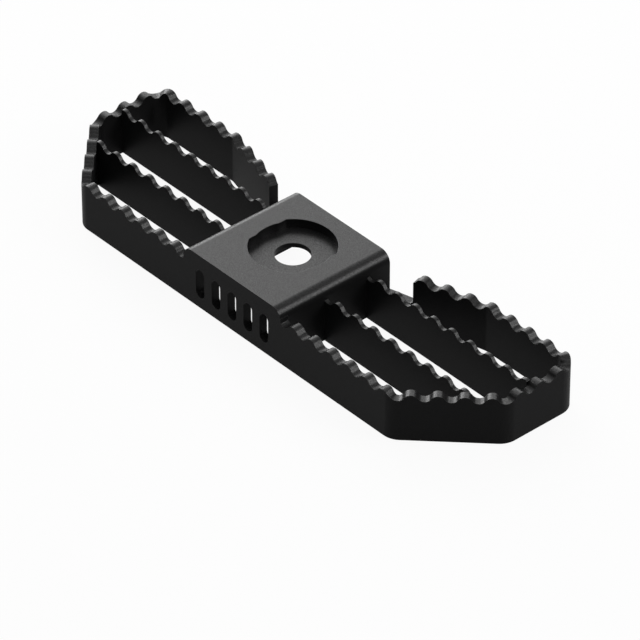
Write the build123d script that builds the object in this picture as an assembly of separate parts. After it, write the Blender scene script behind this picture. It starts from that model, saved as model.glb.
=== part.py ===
from build123d import *
import math
import os

# Step that bolts on under a tow ball: one serrated strip bent into an open ring, four serrated rails
# across it, and a channel-shaped saddle in the middle that sits over the tongue of a ball mount.
# Millimetres. +X runs along the step, -Y is the long front wall, +Z is up, the bottom edges lie at Z = 0.

# Plan of the rim, over its outer faces
overall_length = 443.7
overall_depth = 123.7
corner_run = 56.8  # each front corner is cut off at 45 degrees over this run in X and in Y
back_bend_x = 133.7  # from the middle plane to the bend where a back wall turns in towards the saddle

# Strip of the rim
rim_thickness = 7.0
bend_radius = 8.7  # inside radius of every bend
crest_height = 38.6

# Teeth, a wave of equal tangent arcs laid off along the flat strip
tooth_pitch = 18.5
tooth_depth = 5.0
first_valley_gap = 3.4  # from the side of the saddle to the first valley

# Low tab where each end of the strip meets the saddle
tab_length = 23.5
tab_height = 15.0
tab_corner_radius = 3.5

# Rails
rail_thickness = 3.2
rail_spacing = 39.2  # between the middles of the front and the rear rail

# Saddle
saddle_width = 103.6
saddle_height = 45.5
saddle_reach = 101.8  # from the front face of the rim to the back face of the saddle
saddle_edge_radius = 8.8
saddle_wall = 6.2
saddle_top = 11.0
channel_corner_radius = 3.0

# Seat of the tow ball in the top of the saddle
hole_diameter = 26.0
hole_from_front = 56.75
pocket_depth = 7.2
pocket_diameter = 63.5
pocket_flat_width = 53.5
pocket_round_diameter = 57.5
pocket_corner_radius = 2.5

# Upright slots through the raised middle of the front wall
slot_count = 5
slot_pitch = 17.0
slot_width = 9.0
slot_height = 24.0
slot_middle_height = 21.0

# Cutters run past the faces that they cut by this much
overcut = 2.0
bend_step = 7.5  # degrees between the sections of a cutter that follows a bend

# Places that follow from the sizes above
half_length = overall_length / 2
front_y = -overall_depth / 2
back_y = overall_depth / 2
saddle_side = saddle_width / 2
saddle_front_y = front_y + rim_thickness
saddle_back_y = front_y + saddle_reach
saddle_length = saddle_back_y - saddle_front_y
hole_y = front_y + hole_from_front
outer_radius = bend_radius + rim_thickness
middle_radius = bend_radius + rim_thickness / 2
valley_height = crest_height - tooth_depth
clear_height = crest_height + overcut
first_valley = saddle_side + first_valley_gap
quarter_pitch = tooth_pitch / 4
tooth_radius = (quarter_pitch**2 + tooth_depth**2 / 4) / tooth_depth

# The end run of the strip leads from the back bend to the back corner of the saddle
saddle_corner = Vector(saddle_side, saddle_back_y)
back_bend = Vector(back_bend_x, back_y)
end_run = (saddle_corner - back_bend).normalized()
strip_end = saddle_corner + end_run * rim_thickness

# Corners of the outer face of the strip on the +X side, from the front wall round to the saddle
outer_corners = [
    Vector(half_length - corner_run, front_y),
    Vector(half_length, front_y + corner_run),
    Vector(half_length, back_y),
    back_bend,
    strip_end,
]


def moved_in(corners, distance):
    """The same run of corners, with each side moved to the inside of the rim by the distance."""
    middle = Vector(0, corners[0].Y)
    points = [middle] + corners
    sides = [(b - a).normalized() for a, b in zip(points, points[1:])]
    inward = [side.rotate(Axis.Z, 90) for side in sides]
    moved = []
    for corner, before, after in zip(corners, inward, inward[1:]):
        diagonal = before + after
        moved.append(corner + diagonal * (distance / diagonal.dot(before)))
    moved.append(corners[-1] + inward[-1] * distance)
    return moved


def strip_line(distance):
    """A line round the strip on the +X side, this far in from its outer face, with its bends rounded."""
    corners = moved_in(outer_corners, distance)
    start = Vector(0, corners[0].Y)
    return FilletPolyline(start, *corners, radius=outer_radius - distance)


def plan_inside(line):
    """The area between a strip line, its mirror image and a straight line across their ends."""
    across = Line(line @ 1, Vector(0, (line @ 1).Y))
    middle = Line(across @ 1, line @ 0)
    half = make_face([line, across, middle])
    return half + mirror(half, about=Plane.YZ)


def wave_height(distance):
    """Height of the teeth at a distance along the flat strip."""
    from_valley = abs((distance - first_valley + tooth_pitch / 2) % tooth_pitch - tooth_pitch / 2)
    if from_valley <= quarter_pitch:
        return valley_height + tooth_radius - math.sqrt(tooth_radius**2 - from_valley**2)
    from_crest = tooth_pitch / 2 - from_valley
    return crest_height - tooth_radius + math.sqrt(tooth_radius**2 - from_crest**2)


def wave_cut(start, end):
    """Area above the teeth between two distances along the flat strip, drawn with X along it and Y up."""
    first = math.floor((start - first_valley) / tooth_pitch)
    last = math.ceil((end - first_valley) / tooth_pitch)
    arcs = []
    for tooth in range(first, last):
        valley = Vector(first_valley + tooth * tooth_pitch, valley_height)
        crest = valley + Vector(tooth_pitch / 2, tooth_depth)
        next_valley = valley + Vector(tooth_pitch, 0)
        rise = (valley + crest) / 2
        fall = (crest + next_valley) / 2
        out_of_valley = TangentArc(valley, rise, tangent=(1, 0))
        over_crest = TangentArc(crest, fall, tangent=(1, 0))
        arcs.append(out_of_valley)
        arcs.append(TangentArc(rise, crest, tangent=out_of_valley % 1))
        arcs.append(over_crest)
        arcs.append(TangentArc(fall, next_valley, tangent=over_crest % 1))
    left_end = arcs[0] @ 0
    right_end = arcs[-1] @ 1
    lid = Polyline(right_end, (right_end.X, clear_height), (left_end.X, clear_height), left_end)
    window = Rectangle(end - start, clear_height, align=(Align.MIN, Align.MIN))
    return make_face([*arcs, lid]) & Pos(start, 0) * window


def upright_plane(origin, along):
    """A plane that stands on end, with its X along a horizontal direction and its Y up."""
    return Plane(origin=origin, x_dir=along, z_dir=along.cross(Vector(0, 0, 1)))


def run_cutter(edge, start, end):
    """Cuts the teeth of a straight run that lies between two distances along the flat strip."""
    plane = upright_plane((edge @ 1) - (edge % 0) * end, edge % 0)
    return extrude(plane * wave_cut(start, end), amount=rim_thickness, both=True)


def bend_cutter(edge, start):
    """Cuts the teeth of a bend, with the wave wrapped round it, by a loft through radial sections."""
    turn = math.degrees(edge.length / middle_radius)
    count = max(3, math.ceil(turn / bend_step))
    sections = []
    for index in range(count + 1):
        share = index / count
        floor = wave_height(start + share * edge.length)
        tangent = edge % share
        plane = Plane(origin=edge @ share, x_dir=Vector(0, 0, 1).cross(tangent), z_dir=tangent)
        section = Rectangle(
            rim_thickness + bend_radius, clear_height - floor, align=(Align.CENTER, Align.MIN)
        )
        sections.append(plane * Pos(0, floor) * section)
    return loft(sections)


def tooth_cutters():
    """Cutters for the teeth on the +X half of the rim, one for each run and each bend."""
    cutters = []
    distance = 0.0
    for edge in strip_line(rim_thickness / 2).edges():
        end = distance + edge.length
        if edge.geom_type == GeomType.LINE:
            cutters.append(run_cutter(edge, max(distance, saddle_side), end))
        else:
            cutters.append(bend_cutter(edge, distance))
        distance = end
    return cutters


def saddle_outline():
    """Front view of the saddle, which the raised middle of the front wall repeats."""
    block = Rectangle(saddle_width, saddle_height, align=(Align.CENTER, Align.MIN))
    return fillet(block.vertices().group_by(Axis.Y)[-1], saddle_edge_radius)


def front_view(y):
    """The upright plane across the step at a place along Y, seen from the front."""
    return upright_plane(Vector(0, y), Vector(1, 0))


def tab_cutter():
    """Takes the end of the strip on the +X side down to its low tab."""
    plane = upright_plane(saddle_corner, -end_run)
    step = Rectangle(tab_length + 2 * rim_thickness, clear_height, align=(Align.MAX, Align.MIN))
    step = Pos(tab_length, tab_height) * step
    corner = step.vertices().group_by(Axis.Y)[0].sort_by(Axis.X)[-1]
    return extrude(plane * fillet(corner, tab_corner_radius), amount=2 * rim_thickness, both=True)


def make_rim():
    """The bent strip: a band in plan, raised in the middle of its front wall, with teeth along its top."""
    band = plan_inside(strip_line(0)) - plan_inside(strip_line(rim_thickness))
    rim = extrude(band, amount=crest_height)
    for cutter in [*tooth_cutters(), tab_cutter()]:
        rim -= cutter
        rim -= mirror(cutter, about=Plane.YZ)
    behind = Pos(0, saddle_front_y) * Box(
        saddle_width, overall_depth, crest_height, align=(Align.CENTER, Align.MIN, Align.MIN)
    )
    rim -= behind
    rim += extrude(front_view(front_y) * saddle_outline(), amount=-rim_thickness)
    slot = SlotOverall(slot_height, slot_width, rotation=90)
    for place in GridLocations(slot_pitch, 0, slot_count, 1):
        window = front_view(front_y) * Pos(0, slot_middle_height) * place * slot
        rim -= extrude(window, amount=-rim_thickness)
    return rim


def make_rail(y):
    """One straight rail on the +X side, from the saddle to the inside of the rim."""
    blank = Rectangle(half_length - saddle_side, crest_height, align=(Align.MIN, Align.MIN))
    blank = Pos(saddle_side, 0) * blank
    side_view = blank - wave_cut(saddle_side, half_length)
    rail = extrude(front_view(y) * side_view, amount=rail_thickness / 2, both=True)
    room = extrude(plan_inside(strip_line(rim_thickness)), amount=crest_height)
    return rail & room


def pocket_outline():
    """Seat of the ball's collar: a circle with two flats, opened out between them by a smaller circle."""
    flats = Rectangle(pocket_flat_width, pocket_diameter)
    trimmed = Circle(pocket_diameter / 2) & flats
    trimmed = fillet(trimmed.vertices(), pocket_corner_radius)
    return trimmed + Circle(pocket_round_diameter / 2)


def make_saddle():
    """The channel that sits over the tongue, with the seat and the hole for the ball in its thick top."""
    saddle = extrude(front_view(saddle_front_y) * saddle_outline(), amount=-saddle_length)
    channel = Rectangle(
        saddle_width - 2 * saddle_wall, saddle_height - saddle_top, align=(Align.CENTER, Align.MIN)
    )
    channel = fillet(channel.vertices().group_by(Axis.Y)[-1], channel_corner_radius)
    saddle -= extrude(front_view(saddle_front_y) * channel, amount=-saddle_length)
    top = Plane(origin=(0, hole_y, saddle_height))
    saddle -= extrude(top * pocket_outline(), amount=-pocket_depth)
    saddle -= extrude(top * Circle(hole_diameter / 2), amount=-saddle_top)
    return saddle


def make_parts():
    """Every piece of the step by its name."""
    front_rail = make_rail(-rail_spacing / 2)
    rear_rail = make_rail(rail_spacing / 2)
    return {
        "outer_rim": make_rim(),
        "saddle": make_saddle(),
        "front_rail_right": front_rail,
        "front_rail_left": mirror(front_rail, about=Plane.YZ),
        "rear_rail_right": rear_rail,
        "rear_rail_left": mirror(rear_rail, about=Plane.YZ),
    }


os.makedirs("parts", exist_ok=True)
for name, solid in make_parts().items():
    export_step(solid, f"parts/{name}.step")
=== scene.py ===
import math

import bmesh
import bpy
from bpy.props import FloatProperty, FloatVectorProperty, IntProperty, PointerProperty
from mathutils import Matrix, Vector
from mathutils.bvhtree import BVHTree


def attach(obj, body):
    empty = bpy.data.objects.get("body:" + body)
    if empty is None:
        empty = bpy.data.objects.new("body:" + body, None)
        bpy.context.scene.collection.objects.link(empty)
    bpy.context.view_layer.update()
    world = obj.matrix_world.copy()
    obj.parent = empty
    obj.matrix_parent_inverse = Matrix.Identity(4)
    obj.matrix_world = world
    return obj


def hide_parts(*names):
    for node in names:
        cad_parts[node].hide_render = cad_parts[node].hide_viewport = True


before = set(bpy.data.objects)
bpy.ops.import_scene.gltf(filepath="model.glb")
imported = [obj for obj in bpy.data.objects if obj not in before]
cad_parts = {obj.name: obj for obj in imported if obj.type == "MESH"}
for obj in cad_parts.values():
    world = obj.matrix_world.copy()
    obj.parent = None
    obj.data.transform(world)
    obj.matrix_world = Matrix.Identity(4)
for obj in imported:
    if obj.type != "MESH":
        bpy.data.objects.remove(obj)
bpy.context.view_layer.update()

bl_info = {
    "name": "Serrated Hitch Step",
    "version": (1, 0, 0),
    "blender": (4, 5, 0),
    "location": "3D View > Sidebar > Hitch Step",
    "description": "Rounds the edges of a serrated hitch step, powder coats it and sets it in a studio",
    "category": "Object",
}

# Metres, as the frame is. +X runs along the step, -Y is its long front wall, +Z is up.
RAILS = ["front_rail_right", "front_rail_left", "rear_rail_right", "rear_rail_left"]

# Clean-up of the CAD meshes before their edges are rounded
MERGE_DISTANCE = 0.000002
FLAT_ANGLE = math.radians(0.05)
CONTACT_GAP = 0.00005

# Faces that look up carry the glossy skin. It starts and is full at these heights of a face's normal.
LOOKS_UP = "looks_up"
GLOSS_START = 0.47
GLOSS_FULL = 0.67

# Powder coat: how its two noises are made and how far they swing its colour, roughness and gloss
COAT_NAME = "powder_coat_black"
GRAIN_DETAIL = 2.0
MOTTLE_DETAIL = 3.0
MOTTLE_SCALE = 2.0
MOTTLE_SHARE = 0.35
NOISE_ROUGHNESS = 0.55
NOISE_MIDDLE = 0.5
COLOUR_SWING = 0.6
ROUGHNESS_SWING = 0.1
GLOSS_SWING = 2.0
BUMP_STRENGTH = 0.5
SPECULAR_LEVEL = 0.038
SKIN_IOR = 1.5

# Studio. The floor lies just under the step, so that it doesn't share a plane with the bottom faces.
WHITE = (1.0, 1.0, 1.0, 1.0)
FLOOR_HALF = 12.0
FLOOR_GAP = 0.0002
SENSOR_WIDTH = 36.0
CLIP_END = 100.0

# Lamps by name. Angles are in degrees, turned from straight in front and lifted from the horizon.
PANELS = {
    "back": {"size": (3.6, 2.0), "azimuth": 230.0, "elevation": 28.0, "distance": 2.8},
    "left": {"size": (1.6, 1.3), "azimuth": 256.0, "elevation": 22.0, "distance": 2.8},
    "low": {"size": (1.6, 0.55), "azimuth": 240.0, "elevation": 7.0, "distance": 2.8},
    "high": {"size": (1.4, 1.2), "azimuth": 262.0, "elevation": 50.0, "distance": 2.8},
    "side": {"size": (1.3, 1.2), "azimuth": 129.5, "elevation": 34.0, "distance": 2.6},
    "top": {"size": (3.6, 3.6), "azimuth": 200.0, "elevation": 80.0, "distance": 2.8},
    "front": {"size": (2.0, 1.4), "azimuth": 44.0, "elevation": 55.0, "distance": 2.6},
    "flank": {"size": (1.5, 1.3), "azimuth": 302.0, "elevation": 42.0, "distance": 2.8},
}


class EdgeSettings(bpy.types.PropertyGroup):
    """Sizes of the rounded edges"""

    radius: FloatProperty(
        name="Edge Radius",
        description="Width of the rounding along every free edge",
        default=0.00035,
        min=0.0001,
        unit="LENGTH",
    )
    segments: IntProperty(
        name="Segments",
        description="Faces across a rounded edge",
        default=3,
        min=1,
        subtype="UNSIGNED",
    )
    crease_angle: FloatProperty(
        name="Crease Angle",
        description="An edge is rounded where its faces turn by more than this",
        default=math.radians(32),
        subtype="ANGLE",
    )


class CoatSettings(bpy.types.PropertyGroup):
    """Colour and texture of the powder coat"""

    colour: FloatVectorProperty(
        name="Colour",
        description="Colour of the powder coat",
        default=(0.01, 0.01, 0.0102),
        min=0.0,
        max=1.0,
        subtype="COLOR",
    )
    roughness: FloatProperty(
        name="Roughness",
        description="Roughness of the textured faces",
        default=0.45,
        subtype="FACTOR",
    )
    gloss: FloatProperty(
        name="Gloss",
        description="Share of the glossy skin on faces that look up",
        default=0.6,
        subtype="FACTOR",
    )
    gloss_roughness: FloatProperty(
        name="Gloss Roughness",
        description="Roughness of the glossy skin",
        default=0.33,
        subtype="FACTOR",
    )
    grain_size: FloatProperty(
        name="Grain Size",
        description="Size of the fine grain in the coat",
        default=0.0007,
        unit="LENGTH",
    )
    grain_height: FloatProperty(
        name="Grain Height",
        description="Height of the fine grain in the coat",
        default=0.00005,
        unit="LENGTH",
    )


class StudioSettings(bpy.types.PropertyGroup):
    """Floor, lamps and camera"""

    floor_colour: FloatVectorProperty(
        name="Floor Colour",
        description="Colour of the floor",
        default=(0.8, 0.8, 0.8),
        min=0.0,
        max=1.0,
        subtype="COLOR",
    )
    whiteness: FloatProperty(
        name="Whiteness",
        description="Share of plain white in the floor as it is seen",
        default=0.93,
        subtype="FACTOR",
    )
    ambient: FloatProperty(
        name="Ambient",
        description="Strength of the even light from all round",
        default=0.02,
        subtype="FACTOR",
    )
    back_power: FloatProperty(
        name="Back Panel",
        description="Power of the wide panel behind the step",
        default=54.0,
        unit="POWER",
    )
    left_power: FloatProperty(
        name="Left Panel",
        description="Power of the panel beyond the left end",
        default=23.5,
        unit="POWER",
    )
    low_power: FloatProperty(
        name="Low Panel",
        description="Power of the narrow panel just above the floor, behind and to the left",
        default=7.0,
        unit="POWER",
    )
    high_power: FloatProperty(
        name="High Panel",
        description="Power of the panel high up on the left",
        default=9.0,
        unit="POWER",
    )
    side_power: FloatProperty(
        name="Side Panel",
        description="Power of the panel behind the right end",
        default=25.5,
        unit="POWER",
    )
    top_power: FloatProperty(
        name="Top Panel",
        description="Power of the large dim panel overhead",
        default=23.0,
        unit="POWER",
    )
    front_power: FloatProperty(
        name="Front Panel",
        description="Power of the dim panel above the camera",
        default=12.0,
        unit="POWER",
    )
    flank_power: FloatProperty(
        name="Flank Panel",
        description="Power of the dim panel on the front left, for the tooth flanks of the end walls",
        default=5.0,
        unit="POWER",
    )
    camera_azimuth: FloatProperty(
        name="Camera Azimuth",
        description="Turn of the camera round the step from straight in front",
        default=math.radians(48.591),
        subtype="ANGLE",
    )
    camera_elevation: FloatProperty(
        name="Camera Elevation",
        description="Height of the camera above the horizon",
        default=math.radians(37.065),
        subtype="ANGLE",
    )
    camera_distance: FloatProperty(
        name="Camera Distance",
        description="Distance from the camera to its target",
        default=4.0212,
        unit="LENGTH",
    )
    camera_target: FloatVectorProperty(
        name="Camera Target",
        description="Point in the middle of the picture",
        default=(0.02893, -0.00538, -0.00298),
        subtype="XYZ",
        unit="LENGTH",
    )
    focal_length: FloatProperty(
        name="Focal Length",
        description="Focal length of the lens on a 36 mm wide sensor",
        default=322.5,
        subtype="DISTANCE_CAMERA",
    )


class Value:
    """A number in a node tree, so that shader maths can be written as Python"""

    def __init__(self, tree, socket):
        self.tree = tree
        self.socket = socket

    def maths(self, operation, first, second):
        """Adds a Math node on two values or numbers and returns its result"""
        made = self.tree.node("ShaderNodeMath", {"operation": operation}, {0: first, 1: second})
        return made["Value"]

    def __add__(self, other):
        return self.maths("ADD", self, other)

    def __radd__(self, other):
        return self.maths("ADD", other, self)

    def __sub__(self, other):
        return self.maths("SUBTRACT", self, other)

    def __rsub__(self, other):
        return self.maths("SUBTRACT", other, self)

    def __mul__(self, other):
        return self.maths("MULTIPLY", self, other)

    def __rmul__(self, other):
        return self.maths("MULTIPLY", other, self)

    def __or__(self, other):
        return self.maths("MAXIMUM", self, other)

    def __ror__(self, other):
        return self.maths("MAXIMUM", other, self)


class Tree:
    """A node tree that is built one node at a time"""

    def __init__(self, owner):
        owner.use_nodes = True
        self.tree = owner.node_tree
        self.tree.nodes.clear()

    def node(self, kind, settings=None, sockets=None):
        """Adds a node, sets it up, fills its sockets and returns its outputs by name"""
        made = self.tree.nodes.new(kind)
        for name, value in (settings or {}).items():
            setattr(made, name, value)
        for name, value in (sockets or {}).items():
            if isinstance(value, Value):
                self.tree.links.new(value.socket, made.inputs[name])
            else:
                made.inputs[name].default_value = value
        return {socket.name: Value(self, socket) for socket in made.outputs}


def noise(tree, size, detail):
    """Noise from -0.5 to 0.5 whose features are about this size"""
    place = tree.node("ShaderNodeTexCoord")["Object"]
    fractal = tree.node(
        "ShaderNodeTexNoise",
        {"noise_dimensions": "3D"},
        {"Vector": place, "Scale": 1.0 / size, "Detail": detail, "Roughness": NOISE_ROUGHNESS},
    )
    return fractal["Fac"] - NOISE_MIDDLE


def powder_coat(settings):
    """Fine-textured black powder coat, with a glossy skin on faces that look up"""
    material = bpy.data.materials.new(COAT_NAME)
    tree = Tree(material)
    looks_up = tree.node("ShaderNodeAttribute", {"attribute_name": LOOKS_UP})["Fac"]
    grain = noise(tree, settings.grain_size, GRAIN_DETAIL)
    mottle = noise(tree, settings.grain_size * MOTTLE_SCALE, MOTTLE_DETAIL)
    texture = grain + mottle * MOTTLE_SHARE
    colour = tree.node(
        "ShaderNodeVectorMath",
        {"operation": "SCALE"},
        {0: tuple(settings.colour), "Scale": 1.0 + texture * COLOUR_SWING},
    )["Vector"]
    bumped = tree.node(
        "ShaderNodeBump",
        sockets={"Strength": BUMP_STRENGTH, "Distance": settings.grain_height, "Height": texture},
    )["Normal"]
    shader = tree.node(
        "ShaderNodeBsdfPrincipled",
        sockets={
            "Base Color": colour,
            "Roughness": settings.roughness + texture * ROUGHNESS_SWING,
            "Specular IOR Level": SPECULAR_LEVEL,
            "Coat Weight": looks_up * settings.gloss * (1.0 + texture * GLOSS_SWING),
            "Coat Roughness": settings.gloss_roughness,
            "Coat IOR": SKIN_IOR,
            "Normal": bumped,
        },
    )["BSDF"]
    tree.node("ShaderNodeOutputMaterial", sockets={"Surface": shader})
    return material


def studio_floor(settings):
    """Pale floor that is seen almost white and still takes a soft shadow"""
    material = bpy.data.materials.new("studio_floor")
    tree = Tree(material)
    path = tree.node("ShaderNodeLightPath")
    seen = path["Is Camera Ray"] | path["Is Glossy Ray"] | path["Is Transmission Ray"]
    paint = (*settings.floor_colour, 1.0)
    matt = tree.node("ShaderNodeBsdfDiffuse", sockets={"Color": paint})["BSDF"]
    white = tree.node("ShaderNodeEmission", sockets={"Color": WHITE, "Strength": 1.0})["Emission"]
    mixed = tree.node(
        "ShaderNodeMixShader",
        sockets={"Fac": seen * settings.whiteness, 1: matt, 2: white},
    )["Shader"]
    tree.node("ShaderNodeOutputMaterial", sockets={"Surface": mixed})
    return material


def studio_world(settings):
    """Even light from all round, seen as white behind the step"""
    world = bpy.data.worlds.new("studio_world")
    tree = Tree(world)
    path = tree.node("ShaderNodeLightPath")
    ambient = tree.node("ShaderNodeBackground", sockets={"Strength": settings.ambient})["Background"]
    white = tree.node("ShaderNodeBackground", sockets={"Color": WHITE})["Background"]
    mixed = tree.node(
        "ShaderNodeMixShader",
        sockets={"Fac": path["Is Camera Ray"], 1: ambient, 2: white},
    )["Shader"]
    tree.node("ShaderNodeOutputWorld", sockets={"Surface": mixed})
    return world


def other_surfaces(name):
    """The surfaces of every CAD node but this one, for finding where they touch it"""
    trees = []
    for node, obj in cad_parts.items():
        if node != name:
            corners = [vertex.co for vertex in obj.data.vertices]
            faces = [polygon.vertices for polygon in obj.data.polygons]
            trees.append(BVHTree.FromPolygons(corners, faces))
    return trees


def touches(edge, surfaces):
    """True where the middle of an edge lies on one of the surfaces"""
    middle = (edge.verts[0].co + edge.verts[1].co) / 2
    return any(surface.find_nearest(middle, CONTACT_GAP)[0] is not None for surface in surfaces)


def rounded_mesh(name, settings):
    """A merged copy of a CAD node, with its free edges rounded and the faces that look up marked"""
    bm = bmesh.new()
    bm.from_mesh(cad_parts[name].data)
    bmesh.ops.remove_doubles(bm, verts=bm.verts, dist=MERGE_DISTANCE)
    bmesh.ops.dissolve_limit(
        bm,
        angle_limit=FLAT_ANGLE,
        verts=bm.verts,
        edges=bm.edges,
        use_dissolve_boundaries=False,
    )
    surfaces = other_surfaces(name)
    creases = [
        edge
        for edge in bm.edges
        if edge.is_manifold and edge.calc_face_angle() > settings.crease_angle
    ]
    for edge in creases:
        edge.smooth = False
    free = [edge for edge in creases if edge.is_convex and not touches(edge, surfaces)]
    for edge in free:
        edge.smooth = True
    bmesh.ops.bevel(
        bm,
        geom=free,
        offset=settings.radius,
        offset_type="OFFSET",
        segments=settings.segments,
        profile=0.5,
        affect="EDGES",
        clamp_overlap=True,
        material=-1,
    )
    for face in bm.faces:
        face.smooth = True
    bm.normal_update()
    looks_up = bm.verts.layers.float.new(LOOKS_UP)
    for vertex in bm.verts:
        upward = max(face.normal.z for face in vertex.link_faces)
        share = (upward - GLOSS_START) / (GLOSS_FULL - GLOSS_START)
        vertex[looks_up] = min(max(share, 0.0), 1.0)
    mesh = bpy.data.meshes.new(f"{name}_coated")
    bm.to_mesh(mesh)
    bm.free()
    return mesh


def coated_piece(context, name):
    """Puts the rounded, powder-coated piece in the place of its CAD node"""
    mesh = rounded_mesh(name, context.scene.step_edges)
    material = bpy.data.materials.get(COAT_NAME) or powder_coat(context.scene.step_coat)
    mesh.materials.append(material)
    piece = bpy.data.objects.new(f"{name}_coated", mesh)
    context.scene.collection.objects.link(piece)
    flat_faces = piece.modifiers.new("flat_faces", "WEIGHTED_NORMAL")
    flat_faces.mode = "FACE_AREA"
    flat_faces.keep_sharp = True
    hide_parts(name)
    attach(piece, "root")


def from_angles(azimuth, elevation):
    """Direction from the step, turned from straight in front and lifted from the horizon"""
    return Vector((
        math.sin(azimuth) * math.cos(elevation),
        -math.cos(azimuth) * math.cos(elevation),
        math.sin(elevation),
    ))


def aimed(direction, distance, target):
    """Place of a lamp or camera that looks at the target from a direction"""
    turn = (-direction).to_track_quat("-Z", "Y").to_matrix().to_4x4()
    return Matrix.Translation(target + direction * distance) @ turn


def soft_panel(context, name, power, panel):
    """A rectangular lamp that faces the middle of the step"""
    light = bpy.data.lights.new(name, "AREA")
    light.shape = "RECTANGLE"
    light.size, light.size_y = panel["size"]
    light.energy = power
    lamp = bpy.data.objects.new(name, light)
    direction = from_angles(math.radians(panel["azimuth"]), math.radians(panel["elevation"]))
    lamp.matrix_world = aimed(direction, panel["distance"], Vector())
    context.scene.collection.objects.link(lamp)


def pale_floor(context, settings):
    """A wide flat floor just under the step"""
    bm = bmesh.new()
    under_step = Matrix.Translation((0.0, 0.0, -FLOOR_GAP))
    bmesh.ops.create_grid(bm, x_segments=1, y_segments=1, size=FLOOR_HALF, matrix=under_step)
    mesh = bpy.data.meshes.new("floor")
    bm.to_mesh(mesh)
    bm.free()
    mesh.materials.append(studio_floor(settings))
    floor = bpy.data.objects.new("floor", mesh)
    context.scene.collection.objects.link(floor)


def studio_camera(context, settings):
    """The camera at the photograph's viewing angle"""
    lens = bpy.data.cameras.new("camera")
    lens.sensor_width = SENSOR_WIDTH
    lens.lens = settings.focal_length
    lens.clip_end = CLIP_END
    camera = bpy.data.objects.new("camera", lens)
    direction = from_angles(settings.camera_azimuth, settings.camera_elevation)
    camera.matrix_world = aimed(direction, settings.camera_distance, Vector(settings.camera_target))
    context.scene.collection.objects.link(camera)
    context.scene.camera = camera


class HITCHSTEP_OT_coat_rim(bpy.types.Operator):
    """Round the edges of the serrated rim and coat it"""

    bl_idname = "hitch_step.coat_rim"
    bl_label = "Coat Rim"

    def execute(self, context):
        coated_piece(context, "outer_rim")
        return {"FINISHED"}


class HITCHSTEP_OT_coat_saddle(bpy.types.Operator):
    """Round the edges of the saddle and coat it"""

    bl_idname = "hitch_step.coat_saddle"
    bl_label = "Coat Saddle"

    def execute(self, context):
        coated_piece(context, "saddle")
        return {"FINISHED"}


class HITCHSTEP_OT_coat_rails(bpy.types.Operator):
    """Round the edges of the four rails and coat them"""

    bl_idname = "hitch_step.coat_rails"
    bl_label = "Coat Rails"

    def execute(self, context):
        for name in RAILS:
            coated_piece(context, name)
        return {"FINISHED"}


class HITCHSTEP_OT_set_stage(bpy.types.Operator):
    """Lay the floor and set up the lamps and the camera"""

    bl_idname = "hitch_step.set_stage"
    bl_label = "Set Stage"

    def execute(self, context):
        studio = context.scene.step_studio
        pale_floor(context, studio)
        context.scene.world = studio_world(studio)
        context.scene.view_settings.view_transform = "Standard"
        for name, panel in PANELS.items():
            soft_panel(context, f"{name}_panel", getattr(studio, f"{name}_power"), panel)
        studio_camera(context, studio)
        return {"FINISHED"}


OPERATORS = [
    HITCHSTEP_OT_coat_rim,
    HITCHSTEP_OT_coat_saddle,
    HITCHSTEP_OT_coat_rails,
    HITCHSTEP_OT_set_stage,
]
SETTINGS = {"step_edges": EdgeSettings, "step_coat": CoatSettings, "step_studio": StudioSettings}


class HITCHSTEP_PT_panel(bpy.types.Panel):
    """The step's operators and sizes"""

    bl_idname = "HITCHSTEP_PT_panel"
    bl_label = "Hitch Step"
    bl_space_type = "VIEW_3D"
    bl_region_type = "UI"
    bl_category = "Hitch Step"

    def draw(self, context):
        for operator in OPERATORS:
            self.layout.operator(operator.bl_idname)
        for name, group in SETTINGS.items():
            box = self.layout.box()
            for setting in group.__annotations__:
                box.prop(getattr(context.scene, name), setting)


def register():
    for group in SETTINGS.values():
        bpy.utils.register_class(group)
    for operator in OPERATORS:
        bpy.utils.register_class(operator)
    bpy.utils.register_class(HITCHSTEP_PT_panel)
    for name, group in SETTINGS.items():
        setattr(bpy.types.Scene, name, PointerProperty(type=group))


def unregister():
    for name in SETTINGS:
        delattr(bpy.types.Scene, name)
    bpy.utils.unregister_class(HITCHSTEP_PT_panel)
    for operator in reversed(OPERATORS):
        bpy.utils.unregister_class(operator)
    for group in reversed(SETTINGS.values()):
        bpy.utils.unregister_class(group)


def main():
    register()
    bpy.ops.hitch_step.coat_rim()
    bpy.ops.hitch_step.coat_saddle()
    bpy.ops.hitch_step.coat_rails()
    bpy.ops.hitch_step.set_stage()


if __name__ == "__main__":
    main()
